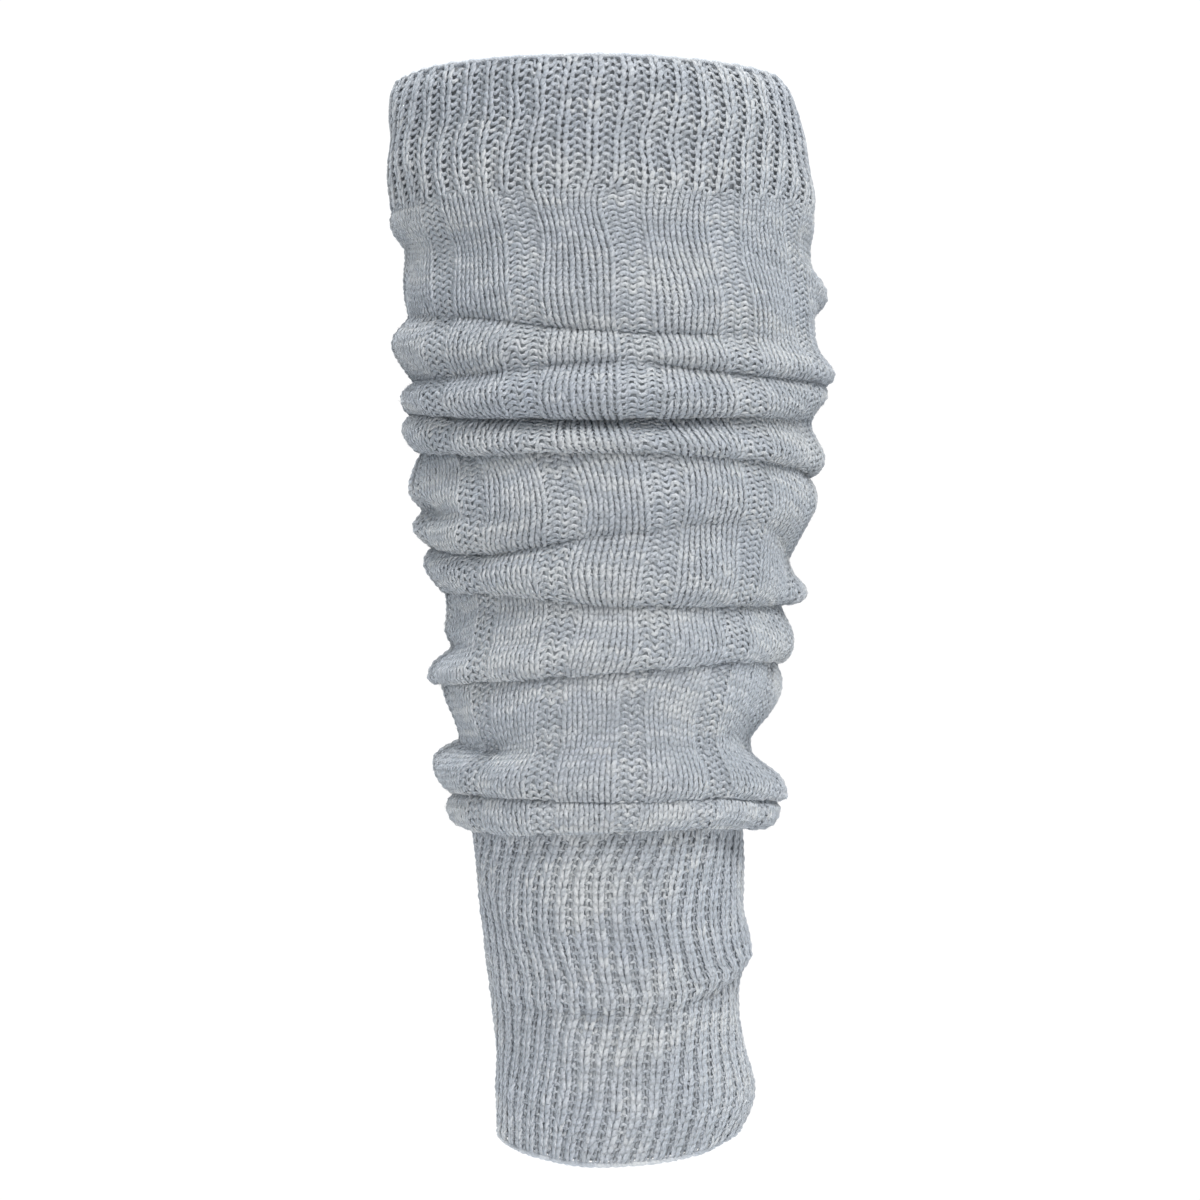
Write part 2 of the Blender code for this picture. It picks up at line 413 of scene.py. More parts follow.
SWAYS = (
    Sway(11.0, 11.6, 11.6, 11.6),
    Sway(0.0, 9.8, 9.8, 9.8),
    Sway(-14.0, 7.6, 7.2, 6.6),
    Sway(-34.0, 9.0, 4.8, 1.4),
    Sway(-45.0, 10.2, 5.4, 2.8),
    Sway(-58.0, 10.2, 6.2, 4.4),
    Sway(-72.0, 7.0, 6.6, 6.6),
    Sway(-86.0, 4.6, 7.2, 9.4),
    Sway(-96.0, 5.4, 10.0, 13.4),
    Sway(-104.0, 13.5, 12.6, 13.4),
    Sway(-114.0, 17.6, 14.4, 14.2),
    Sway(-125.5, 12.6, 15.2, 16.0),
    Sway(-133.0, 9.8, 14.2, 16.0),
    Sway(-148.0, 14.0, 12.8, 13.8),
    Sway(-155.0, 13.2, 12.0, 15.4),
    Sway(-168.0, 12.4, 7.8, 7.6),
    Sway(-177.0, 12.2, 7.6, 5.2),
    Sway(-185.0, 12.6, 8.6, 8.8),
    Sway(-197.0, 0.5, 9.2, 14.0),
    Sway(-204.0, 1.5, 7.0, 4.0),
    Sway(-212.3, 1.5, 3.5, 4.5),
    Sway(-222.0, -5.5, -1.5, 2.5),
    Sway(-234.0, -8.3, -3.8, 0.7),
    Sway(-250.0, -5.7, -1.2, 3.3),
    Sway(-258.0, -4.5, 0.0, 4.5),
    Sway(-270.0, -9.0, -4.5, 0.0),
    Sway(-294.0, -15.5, -11.0, -6.5),
    Sway(-306.0, -16.0, -11.5, -7.0),
)
# The rows of a roll are its edge, tuck, bulge, foot and crest, from the left by the front round.
ROLLS = (
    Roll("cuff_fall",
         Around(-36.2, -39.5, -42.0, -39.0, -36.9, -39.0, -41.0, -39.0),
         Around(0.9, 0.4, 0.0, 0.0, 0.3, 0.5, 0.8, 0.9),
         Around(1.3, 0.8, 0.5, 0.4, 0.5, 0.8, 1.2, 1.4),
         Around(-0.9, 0.4, 1.2, 0.8, 0.0, 0.4, 0.6, 0.0),
         Around(0.4, 0.5, 0.5, 0.5, 0.5, 0.5, 0.5, 0.4)),
    Roll("upper_swell",
         Around(-58.0, -61.0, -66.2, -66.0, -57.3, -58.5, -61.0, -60.0),
         Around(0.8, 1.6, 2.6, 0.8, 1.2, 1.8, 2.0, 1.6),
         Around(0.4, 2.4, 3.6, 2.6, 2.2, 2.6, 2.4, 1.4),
         Around(-0.4, 0.4, 0.4, 2.2, 0.3, 0.4, 0.2, 0.0),
         Around(0.45, 0.6, 0.68, 0.6, 0.65, 0.6, 0.6, 0.5)),
    Roll("first_roll",
         Around(-77.2, -77.6, -74.9, -77.6, -77.7, -76.0, -76.5, -77.0),
         Around(1.4, 1.0, 0.9, 1.3, 1.2, 1.8, 2.2, 1.8),
         Around(5.7, 5.0, 4.6, 6.0, 7.2, 6.2, 5.4, 5.4),
         Around(0.3, 1.9, 2.4, 2.6, 3.8, 0.8, 0.6, 0.6),
         Around(0.4, 0.5, 0.55, 0.66, 0.8, 0.65, 0.6, 0.5)),
    Roll("second_roll",
         Around(-86.2, -88.8, -90.0, -88.9, -89.4, -89.2, -88.0, -87.0),
         Around(2.4, 3.2, 3.8, 2.3, 0.9, 2.2, 3.0, 2.8),
         Around(5.6, 6.2, 6.6, 6.2, 5.4, 5.6, 5.0, 5.0),
         Around(-0.4, -5.4, -5.4, 1.2, 1.0, -2.0, -3.0, -1.8),
         Around(0.5, 0.6, 0.62, 0.6, 0.3, 0.5, 0.6, 0.55)),
    Roll("third_roll",
         Around(-97.3, -99.8, -100.1, -101.8, -104.8, -102.8, -100.4, -98.5),
         Around(2.2, 2.3, 1.3, 1.6, 2.2, 2.4, 2.4, 2.4),
         Around(6.3, 5.0, 4.8, 5.4, 5.8, 5.4, 4.8, 5.4),
         Around(0.0, 0.0, 2.2, 1.8, 0.2, 0.0, 0.0, 0.0),
         Around(0.42, 0.6, 0.68, 0.7, 0.64, 0.64, 0.6, 0.5)),
    Roll("long_roll",
         Around(-126.6, -129.2, -123.5, -120.0, -130.5, -130.0, -128.0, -127.5),
         Around(2.4, 3.2, 1.7, 1.0, 1.8, 2.6, 2.6, 2.6),
         Around(5.6, 5.2, 4.4, 4.4, 5.4, 5.0, 5.0, 5.2),
         Around(0.3, -2.2, 1.8, 3.0, 0.6, -0.4, -0.4, -0.2),
         Around(0.5, 0.6, 0.6, 0.6, 0.32, 0.5, 0.55, 0.5)),
    Roll("fourth_roll",
         Around(-140.0, -140.0, -143.4, -144.0, -142.8, -142.6, -142.0, -141.0),
         Around(1.8, 2.0, 2.1, 2.3, 2.4, 2.6, 2.6, 2.2),
         Around(5.0, 4.6, 5.0, 5.0, 3.8, 4.6, 5.0, 5.0),
         Around(0.4, 0.2, 1.0, 0.9, 0.8, -0.2, -0.2, 0.2),
         Around(0.36, 0.5, 0.62, 0.68, 0.6, 0.6, 0.55, 0.45)),
    Roll("fifth_roll",
         Around(-167.1, -165.7, -162.7, -160.0, -160.8, -161.5, -163.5, -166.0),
         Around(3.2, 2.6, 2.1, 1.9, 2.2, 2.4, 2.6, 3.0),
         Around(7.6, 5.8, 5.0, 5.0, 6.5, 6.0, 6.0, 7.0),
         Around(4.2, 1.4, 1.6, 1.7, 1.2, 0.6, 0.6, 1.8),
         Around(0.78, 0.7, 0.66, 0.62, 0.62, 0.62, 0.66, 0.72)),
    Roll("slack_panel",
         Around(-184.3, -187.6, -183.0, -182.0, -188.4, -187.0, -185.5, -184.5),
         Around(0.8, 1.1, 0.0, 0.4, 1.2, 1.6, 1.6, 1.2),
         Around(3.4, 3.4, 3.2, 3.4, 4.4, 3.4, 3.2, 3.4),
         Around(0.0, 1.4, 3.4, 2.8, 0.0, 0.4, 0.4, 0.3),
         Around(0.3, 0.4, 0.5, 0.5, 0.3, 0.4, 0.45, 0.4)),
    Roll("sixth_roll",
         Around(-199.5, -198.9, -200.3, -199.8, -201.4, -200.8, -200.0, -199.6),
         Around(2.6, 2.0, 1.5, 1.8, 2.8, 3.0, 3.0, 2.8),
         Around(8.5, 6.0, 5.2, 7.0, 12.2, 9.0, 7.5, 7.5),
         Around(1.2, 1.4, 2.8, 4.0, 6.8, 2.8, 1.2, 1.0),
         Around(0.42, 0.5, 0.6, 0.6, 0.64, 0.6, 0.55, 0.5), fullness=3.2),
    Roll("last_roll",
         Around(-209.2, -209.6, -208.2, -207.8, -209.8, -210.0, -210.2, -209.6),
         Around(2.2, 2.4, 2.2, 2.4, 3.0, 2.8, 2.6, 2.4),
         Around(6.4, 5.0, 4.6, 6.4, 11.0, 8.0, 6.2, 6.0),
         Around(0.4, 0.4, 0.4, 0.4, 0.4, 0.4, 0.4, 0.4),
         Around(0.52, 0.54, 0.52, 0.54, 0.58, 0.6, 0.6, 0.58)),
    Roll("last_tuck", *map(Around.ring, (-212.3, 0.0, 0.2, 0.0, 0.5))),
)
CREASES = (
    Crease(-75, -114.6, 30, 2.8, -4.4, -0.05),
    Crease(-92, -118.4, 24, 3.2, 1.8),
    Crease(92, -181.5, 28, 4.6, -3.2),
    Crease(90, -245.5, 30, 7.5, 2.6, 0.1),
    Crease(-84, -155.0, 30, 3.0, -5.0),
    Crease(-47, -184.5, 12, 3.0, -1.6),
    Crease(-30, -153.2, 14, 2.2, -1.5),
    Crease(5, -71.5, 5, 3.2, -2.0),
    Crease(92, -138.4, 20, 2.6, 4.4),
    Crease(88, -50.5, 28, 3.2, 2.8, -0.26),
    Crease(-12, -257.4, 36, 2.8, 2.3),
    Crease(54, -252.4, 30, 3.2, 2.6, 0.13),
    Crease(-8, -262.2, 34, 2.0, -0.7),
    Crease(54, -257.2, 30, 2.2, -0.9, 0.13),
    Crease(150, -115.0, 30, 3.0, -4.0, 0.04),
    Crease(-140, -157.0, 32, 3.4, -4.2, -0.05),
    Crease(175, -185.0, 25, 4.0, -2.0, 0.06),
)
RIM = Around.ring(11.0)
CUFF_JOIN = Around.ring(-26.0)
ANKLE_JOIN = Around(-212.0, -211.6, -210.6, -210.2, -211.8, -212.3, -212.3, -212.3)
HEM = Around(-298.6, -302.4, -304.7, -303.0, -299.4, -299.4, -300.6, -299.4)


# ---- The knitting --------------------------------------------------------------------------------


@dataclass(frozen=True)
class Rib:
    """How knit and purl wales take turns round the leg, and how wide they are there."""

    knit: int
    purl: int
    start: float
    knit_width: float
    turn_over: float = 0.14

    @property
    def repeat(self) -> int:
        """Wales in one repeat."""
        return self.knit + self.purl

    @property
    def pitch(self) -> float:
        """Degrees of one repeat."""
        return 360.0 * self.repeat / WALES

    def azimuth(self, wale: np.ndarray) -> np.ndarray:
        """Degrees round the leg.

        Whole repeats times their pitch, plus the knit wales passed in this one times their width,
        plus the purl wales passed times what the knit wales leave for each of them.

        Args:
            wale: Places round the leg, counted in wales.

        Returns:
            The azimuth of each place.
        """
        whole = np.floor(wale / self.repeat)
        inside = wale - whole * self.repeat
        purl_width = (self.pitch - self.knit * self.knit_width) / self.purl
        knit_part = np.minimum(inside, self.knit) * self.knit_width
        purl_part = np.maximum(inside - self.knit, 0) * purl_width
        return self.start + whole * self.pitch + knit_part + purl_part

    def side(self, wale: np.ndarray) -> np.ndarray:
        """Which side of the knitting shows.

        Args:
            wale: Places round the leg, counted in wales.

        Returns:
            Plus one on knit wales, minus one on purl wales, and a smooth turn where they meet.
        """
        inside = np.mod(wale, self.repeat)
        into_knit = np.minimum(inside, self.knit - inside)
        into_purl = np.minimum(inside - self.knit, self.repeat - inside)
        into = np.where(inside < self.knit, into_knit, -into_purl)
        return np.sin(np.clip(into / self.turn_over, -1, 1) * math.pi / 2)


@dataclass(frozen=True, kw_only=True)
class Loop:
    """The shape of one loop of yarn, in wales and courses along the cloth and millimetres out.

    The unevenness is the one along the cloth. The shares of the radius are its squeeze behind
    knit wales and its uneven part.
    """

    knit_lean: float = 0.22
    purl_lean: float = 0.22
    purl_spread: float = 0.0
    knit_height: float = 0.95
    purl_height: float
    purl_heads: float = 0.04
    knit_depth: float = 0.4
    purl_depth: float
    relief: float
    stand_off: float = 0.35
    knit_radius: float = 0.76
    purl_radius: float
    squeeze: float = 0.25
    unevenness: float = 0.045
    uneven_out: float = 0.08
    uneven_radius: float = 0.07

    def steps(self, run: np.ndarray, side: np.ndarray) -> np.ndarray:
        """Even steps along the yarn, drawn to the heads and feet of the loops on purl wales."""
        return run - self.purl_heads * np.clip(-side, 0, 1) * np.sin(4 * np.pi * run)

    def by_side(self, knit: float, purl: float, side: np.ndarray) -> np.ndarray:
        """A value that is one thing on knit wales and another on purl wales."""
        return purl + (knit - purl) * (side + 1) / 2

    def run(self, share: np.ndarray, side: np.ndarray) -> np.ndarray:
        """Wales along the course: the share of the loop, leaning in and out twice a loop.

        On purl wales the two sides of a loop also stand further apart by a swing once a loop.
        """
        lean = self.by_side(self.knit_lean, self.purl_lean, side)
        spread = self.by_side(0.0, self.purl_spread, side)
        return share + lean * np.sin(4 * np.pi * share) - spread * np.sin(2 * np.pi * share)

    def fall(self, share: np.ndarray, side: np.ndarray) -> np.ndarray:
        """Courses down the wale: the middle of the course and a swing once a loop."""
        height = self.by_side(self.knit_height, self.purl_height, side)
        return 0.5 + height * np.cos(2 * np.pi * share)

    def out(self, share: np.ndarray, side: np.ndarray) -> np.ndarray:
        """Millimetres out: the wale's relief and a swing twice a loop, turned on purl wales."""
        depth = np.where(side > 0, self.knit_depth, self.purl_depth)
        return self.stand_off + self.relief * side - side * depth * np.cos(4 * np.pi * share)

    def radius(self, share: np.ndarray, side: np.ndarray) -> np.ndarray:
        """The yarn's radius, squeezed where it passes behind on knit wales."""
        behind = np.clip(side, 0, 1) * (0.5 + 0.5 * np.cos(4 * np.pi * share))
        return self.by_side(self.knit_radius, self.purl_radius, side) * (1 - self.squeeze * behind)


@dataclass
class CourseMap:
    """The level of each course at each azimuth.

    The courses share the cloth's length. Those at the top are closer than the mean by the
    crowding, a share of one, and those at the bottom are as much wider.
    """

    form: LegForm
    top: Around
    bottom: Around
    count: int
    crowding: float = 0.0
    columns: int = 180
    samples: int = 900
    table: np.ndarray = field(init=False)
    mean_length: float = field(init=False)

    def __post_init__(self) -> None:
        """Measure the cloth down each column and share its length among the courses."""
        azimuth = np.arange(self.columns) * 360.0 / self.columns
        share = np.linspace(0, 1, self.samples)[:, None]
        levels = self.top.at(azimuth) * (1 - share) + self.bottom.at(azimuth) * share
        points = self.form.middle(azimuth + self.form.sway(azimuth, levels), levels)
        steps = np.linalg.norm(np.diff(points, axis=0), axis=-1)
        run = np.concatenate([np.zeros((1, self.columns)), np.cumsum(steps, axis=0)])
        even = np.linspace(0, 1, self.count + 1)
        even = even + self.crowding * even * (even - 1)
        self.mean_length = float(run[-1].mean())
        LOG.info("%d courses of %.2f mm, from %.1f to %.1f round the leg", self.count,
                 self.mean_length / self.count, run[-1].min(), run[-1].max())
        self.table = np.stack(
            [np.interp(even * run[-1, c], run[:, c], levels[:, c]) for c in range(self.columns)],
            axis=1,
        )

    def level(self, azimuth: np.ndarray, course: np.ndarray) -> np.ndarray:
        """The level of places in the knitting, in straight lines between the table's columns.

        Args:
            azimuth: Degrees round the leg, before the sway.
            course: Places counted in courses, which may run past the ends.

        Returns:
            The level of each place.
        """
        place = np.mod(azimuth, 360.0) * self.columns / 360.0
        left = np.floor(place).astype(int)
        across = place - left
        right = (left + 1) % self.columns
        left %= self.columns
        row = np.clip(np.floor(course), 0, self.count - 1).astype(int)
        upper = self.table[row, left] * (1 - across) + self.table[row, right] * across
        lower = self.table[row + 1, left] * (1 - across) + self.table[row + 1, right] * across
        return upper + (lower - upper) * (course - row)


@dataclass
class KnittedLength:
    """One length of the tube: where it runs, how it is ribbed and how many courses it has."""

    node: str
    form: LegForm
    rib: Rib
    loop: Loop
    top: Around
    bottom: Around
    courses: int
    first_course: int
    rib_above: Rib | None = None
    rib_below: Rib | None = None
    crowding: float = 0.0
    blend: float = 3.0
    map: CourseMap = field(init=False)

    def __post_init__(self) -> None:
        """Lay the courses out along the cloth."""
        self.map = CourseMap(self.form, self.top, self.bottom, self.courses, self.crowding)

    def azimuth(self, wale: np.ndarray, course: np.ndarray) -> np.ndarray:
        """Degrees round the leg before the sway, eased into the neighbours' ribs at the joins.

        At a join it is half this rib's azimuth and half the neighbour's, and a few courses
        further on it is all this rib's own.

        Args:
            wale: Places round the leg, counted in wales.
            course: Places down the length, counted in courses.

        Returns:
            The azimuth of each place.
        """
        own = self.rib.azimuth(wale)
        result = own
        for other, distance in ((self.rib_above, course), (self.rib_below, self.courses - course)):
            if other is not None:
                share = 0.5 * (1 - smooth_step(distance / self.blend))
                result = result + (other.azimuth(wale) - own) * share
        return result

    def place(self, wale: np.ndarray, course: np.ndarray) -> tuple[np.ndarray, np.ndarray]:
        """Azimuth and level of a place in the knitting, sway and all."""
        fixed = self.azimuth(wale, course)
        level = self.map.level(fixed, course)
        return fixed + self.form.sway(fixed, level), level

    def points(
        self, wale: np.ndarray, course: np.ndarray, out: np.ndarray
    ) -> tuple[np.ndarray, np.ndarray]:
        """Points of the knitting and the ways out of the cloth there.

        Args:
            wale: Places round the leg, counted in wales.
            course: Places down the length, counted in courses.
            out: How far the points stand out of the cloth's middle, in millimetres.

        Returns:
            The points in millimetres, and the unit normals.
        """
        azimuth, level = self.place(wale, course)
        normal = self.form.normal(azimuth, level)
        return self.form.middle(azimuth, level) + normal * out[..., None], normal


def smooth_step(share: np.ndarray) -> np.ndarray:
    """Nought below nought, one above one, and a smooth cubic rise between."""
    share = np.clip(share, 0, 1)
    return share * share * (3 - 2 * share)


# ---- Meshes --------------------------------------------------------------------------------------


def add_object(name: str, data: bpy.types.ID) -> bpy.types.Object:
    """A new object that holds a mesh, a light or a camera, linked to the scene."""
    made = bpy.data.objects.new(name, data)
    bpy.context.scene.collection.objects.link(made)
    return made


def mesh_object(name: str, points: np.ndarray, faces: np.ndarray) -> bpy.types.Object:
    """A new object from its points and faces, which all have as many corners.

    Args:
        name: The object's name.
        points: Points in millimetres, one to a row.
        faces: A face's point numbers to a row, anticlockwise as seen from outside.

    Returns:
        The object, smooth shaded and linked to the scene.
    """
    mesh = bpy.data.meshes.new(name)
    mesh.vertices.add(len(points))
    mesh.vertices.foreach_set("co", (points * MM).astype(np.float32).ravel())
    mesh.loops.add(faces.size)
    mesh.loops.foreach_set("vertex_index", faces.astype(np.int32).ravel())
    mesh.polygons.add(len(faces))
    starts = np.arange(0, faces.size, faces.shape[1], dtype=np.int32)
    mesh.polygons.foreach_set("loop_start", starts)
    mesh.polygons.foreach_set("use_smooth", np.ones(len(faces), dtype=bool))
    mesh.update(calc_edges=True)
    mesh.validate()
    return add_object(name, mesh)


def set_attribute(piece: bpy.types.Object, name: str, values: np.ndarray) -> None:
    """Store a number or a vector at every point of a mesh, under a name that a material reads."""
    kind, key = ("FLOAT_VECTOR", "vector") if values.ndim == 2 else ("FLOAT", "value")
    attribute = piece.data.attributes.new(name, kind, "POINT")
    attribute.data.foreach_set(key, values.astype(np.float32).ravel())


def set_uv(piece: bpy.types.Object, corners: np.ndarray) -> None:
    """Give a mesh the map that its finish is baked on, one pair to a corner of each face."""
    layer = piece.data.uv_layers.new(name=BAKE_MAP)
    layer.data.foreach_set("uv", corners.astype(np.float32).ravel())


def mark_place(
    piece: bpy.types.Object, wale: np.ndarray, course: np.ndarray, twist: np.ndarray
) -> None:
    """Store where each point of a mesh is in the knitting, for the yarn's finish to read.

    Args:
        piece: The mesh.
        wale: The wale of each point, kept as a circle of all wales so that it closes.
        course: The course of each point, counted from the rim.
        twist: Turns that the yarn's plies have made there.
    """
    turn, size = 2 * np.pi * wale / WALES, WALES / (2 * np.pi)
    place = np.column_stack([size * np.cos(turn), size * np.sin(turn), course])
    set_attribute(piece, "stitch", place)
    set_attribute(piece, "twist", twist)


def ring_quads(rows: int, columns: int) -> np.ndarray:
    """Faces of a grid of points that closes on itself both ways.

    Args:
        rows: Rows of points.
        columns: Points in a row.

    Returns:
        Four point numbers to a face: here, next column, next row and column, next row.
    """
    row, column = np.indices((rows, columns))
    next_row, next_column = (row + 1) % rows, (column + 1) % columns
    corners = (row * columns + column, row * columns + next_column,
               next_row * columns + next_column, next_row * columns + column)
    return np.stack(corners, axis=-1).reshape(-1, 4)


@dataclass(frozen=True)
class YarnTube:
    """The skin of yarns: a few points round each point of their paths, one of them facing in."""

    sides: int = 3
    ply: float = 1.2

    def twist(self, path: np.ndarray) -> np.ndarray:
        """Turns of the yarn's plies at each point of its skin.

        They are its run over the ply's length, from the back round to the back, plus twice the
        share of a turn round the yarn.

        Args:
            path: Paths in millimetres: yarn, point along it, and x, y, z.

        Returns:
            Turns: yarn, point along it, and point round it.
        """
        half = path.shape[1] // 2
        steps = np.linalg.norm(path - np.roll(path, 1, axis=1), axis=-1)
        along = np.roll(np.cumsum(np.roll(steps, half, axis=1), axis=1), -half, axis=1)
        return along[:, :, None] / self.ply + 2 * np.arange(self.sides) / self.sides

    def build(
        self,
        name: str,
        path: np.ndarray,
        out: np.ndarray,
        radius: np.ndarray,
        wale: np.ndarray,
        course: np.ndarray,
    ) -> bpy.types.Object:
        """Closed tubes along closed paths.

        At each point the tube's frame is the path's direction, the way out of the cloth squared to
        it, and their cross product. The skin's points are the radius times cosine and sine of
        even turns in that frame.

        Args:
            name: The object's name.
            path: Paths in millimetres: yarn, point along it, and x, y, z.
            out: The way out of the cloth at each point of the paths.
            radius: The yarn's radius at each point of the paths, in millimetres.
            wale: The wale that each point of the paths belongs to.
            course: The course that it belongs to, counted from the rim.

        Returns:
            The object with all the yarns.
        """
        yarns, steps = path.shape[:2]
        along = unit(np.roll(path, -1, axis=1) - np.roll(path, 1, axis=1))
        up = unit(out - along * np.sum(out * along, axis=-1, keepdims=True))
        across = np.cross(along, up)
        turn = -np.pi / 2 + np.arange(self.sides)[:, None] * 2 * np.pi / self.sides
        round_it = np.cos(turn) * across[:, :, None, :] + np.sin(turn) * up[:, :, None, :]
        skin = path[:, :, None, :] + radius[:, :, None, None] * round_it
        one = ring_quads(steps, self.sides)
        first = np.arange(yarns)[:, None, None] * steps * self.sides
        quads = (one[None, :, ::-1] + first).reshape(-1, 4)
        piece = mesh_object(name, skin.reshape(-1, 3), quads)
        set_uv(piece, self.bake_map(yarns, steps))
        places = np.broadcast_arrays(wale[..., None], course[..., None], self.twist(path))
        mark_place(piece, *(place.ravel() for place in places))
        return piece

    def bake_map(self, yarns: int, steps: int) -> np.ndarray:
        """Corners of the bake's map: along the yarn from left to right, one strip to a side."""
        yarn, step, side = np.indices((yarns, steps, self.sides))
        left, right = step / steps, (step + 1) / steps
        low = (yarn * self.sides + side) / (yarns * self.sides)
        high = low + 1 / (yarns * self.sides)
        corners = (right, low, right, high, left, high, left, low)
        return np.stack(corners, axis=-1).reshape(-1, 2)


@dataclass
class StitchBand:
    """Some courses of a length, as yarn looped through itself stitch by stitch."""

    name: str
    length: KnittedLength
    first: int
    count: int
    steps: int
    knots: int = 2

    def build(self, random: np.random.Generator) -> bpy.types.Object:
        """Make the yarns of the band: the loop's shape at every step round the leg, made uneven.

        Args:
            random: The source of the stitches' unevenness.

        Returns:
            The object with the band's yarns.
        """
        length, loop = self.length, self.length.loop
        course = (self.first + np.arange(self.count))[:, None]
        even = np.arange(WALES * self.steps)[None, :] / self.steps
        run = loop.steps(even, length.rib.side(even))
        side = length.rib.side(run)
        along, down, outward, thicker = self.unevenness(random)
        wale = loop.run(run, side) + along
        fallen = course + loop.fall(run, side) + down
        path, normal = length.points(wale, fallen, loop.out(run, side) + outward)
        radius = loop.radius(run, side) * (1 + thicker)
        return YarnTube().build(self.name, path, normal, radius, run, course + length.first_course)

    def unevenness(self, random: np.random.Generator) -> np.ndarray:
        """Chance shifts, drawn at a few knots to a wale and twice eased by their neighbours.

        Args:
            random: The source of the shifts.

        Returns:
            Wales along the course, courses down the wale, millimetres outward and shares of the
            radius, at every step of every course.
        """
        loop = self.length.loop
        knots = random.standard_normal((4, self.count, WALES * self.knots))
        eased = knots[:, :, np.arange(WALES * self.steps) * self.knots // self.steps]
        for _ in range(2):
            eased = (np.roll(eased, 1, axis=2) + 2 * eased + np.roll(eased, -1, axis=2)) / 4
        sizes = (loop.unevenness, loop.unevenness, loop.uneven_out, loop.uneven_radius)
        return eased * np.array(sizes)[:, None, None]


@dataclass
class EdgeYarn:
    """The strand that closes a rim, and lies a little higher over each wale than between them."""

    name: str
    length: KnittedLength
    course: float
    steps: int = 6
    sides: int = 4
    wave: float = 0.04
    radius: float = 0.85

    def build(self) -> bpy.types.Object:
        """Make the strand, at its course plus the wave times a cosine once a wale."""
        length, loop = self.length, self.length.loop
        wale = np.arange(WALES * self.steps)[None, :] / self.steps
        course = self.course + self.wave * np.cos(2 * np.pi * wale)
        out = loop.stand_off + loop.relief * length.rib.side(wale)
        path, normal = length.points(wale, course, out)
        radius, course = np.full(wale.shape, self.radius), course + length.first_course
        return YarnTube(self.sides).build(self.name, path, normal, radius, wale, course)


@dataclass
class Fuzz:
    """Loose ends of fibre that stand out of the yarn all over a length, each a thin spike."""

    length: KnittedLength
    count: int
    root: float = 0.75
    shortest: float = 0.6
    longest: float = 1.6
    width: float = 0.06
    splay: float = 0.9

    def build(self, random: np.random.Generator) -> bpy.types.Object:
        """Make the spikes: a root across each fibre and a tip in a direction near the way out.

        Args:
            random: The source of the places, lengths and directions.

        Returns:
            The object with all the spikes.
        """
        wale = random.uniform(0, WALES, self.count)
        course = random.uniform(0, self.length.courses, self.count)
        root, normal = self.length.points(wale, course, np.full(self.count, self.root))
        way = unit(normal + self.splay * unit(random.standard_normal((self.count, 3))))
        half = unit(np.cross(way, random.standard_normal((self.count, 3)))) * self.width / 2
        tip = root + way * random.uniform(self.shortest, self.longest, (self.count, 1))
        points = np.stack([root - half, root + half, tip], axis=1).reshape(-1, 3)
        faces = np.arange(3 * self.count).reshape(-1, 3)
        piece = mesh_object(self.length.node + "_fuzz", points, faces)
        set_uv(piece, self.bake_map())
        course += self.length.first_course
        mark_place(piece, np.repeat(wale, 3), np.repeat(course, 3), np.zeros(3 * self.count))
        return piece

    def bake_map(self) -> np.ndarray:
        """Corners of the bake's map: each spike stands in a square of its own."""
        across = math.ceil(math.sqrt(self.count))
        cell = np.stack([np.arange(self.count) % across, np.arange(self.count) // across], axis=-1)
        corners = np.array([[0.05, 0.05], [0.95, 0.05], [0.5, 0.95]])
        return ((cell[:, None, :] + corners) / across).reshape(-1, 2)


@dataclass
class ClothShell:
    """The thin ground of a length, behind its stitches, which closes the sight between them."""

    length: KnittedLength
    rows: int
    outside: float
    thickness: float = 0.8

    def build(self) -> bpy.types.Object:
        """Make the shell: an outer and an inner grid, joined at the rims into one closed skin.

        Its points stand in the middle of the wales, and its rows share the courses evenly.

        Returns:
            The object, named for its length.
        """
        wale = np.arange(WALES) + 0.5
        course = np.linspace(0, self.length.courses, self.rows)
        down = np.concatenate([course, course[::-1]])[:, None]
        out = np.repeat([self.outside, self.outside - self.thickness], self.rows)[:, None]
        wale, down, out = np.broadcast_arrays(wale[None, :], down, out)
        points, _ = self.length.points(wale, down, out)
        quads = ring_quads(self.rows * 2, WALES)[:, ::-1]
        piece = mesh_object(self.length.node + "_ground", points.reshape(-1, 3), quads)
        set_uv(piece, self.bake_map())
        return piece

    def bake_map(self) -> np.ndarray:
        """Corners of the bake's map: round the leg from left to right, round the wall upwards."""
        row, column = np.indices((self.rows * 2, WALES))
        left, right = column / WALES, (column + 1) / WALES
        low, high = row / (self.rows * 2), (row + 1) / (self.rows * 2)
        return np.stack((left, high, right, high, right, low, left, low), axis=-1).reshape(-1, 2)


# ---- Finishes ------------------------------------------------------------------------------------


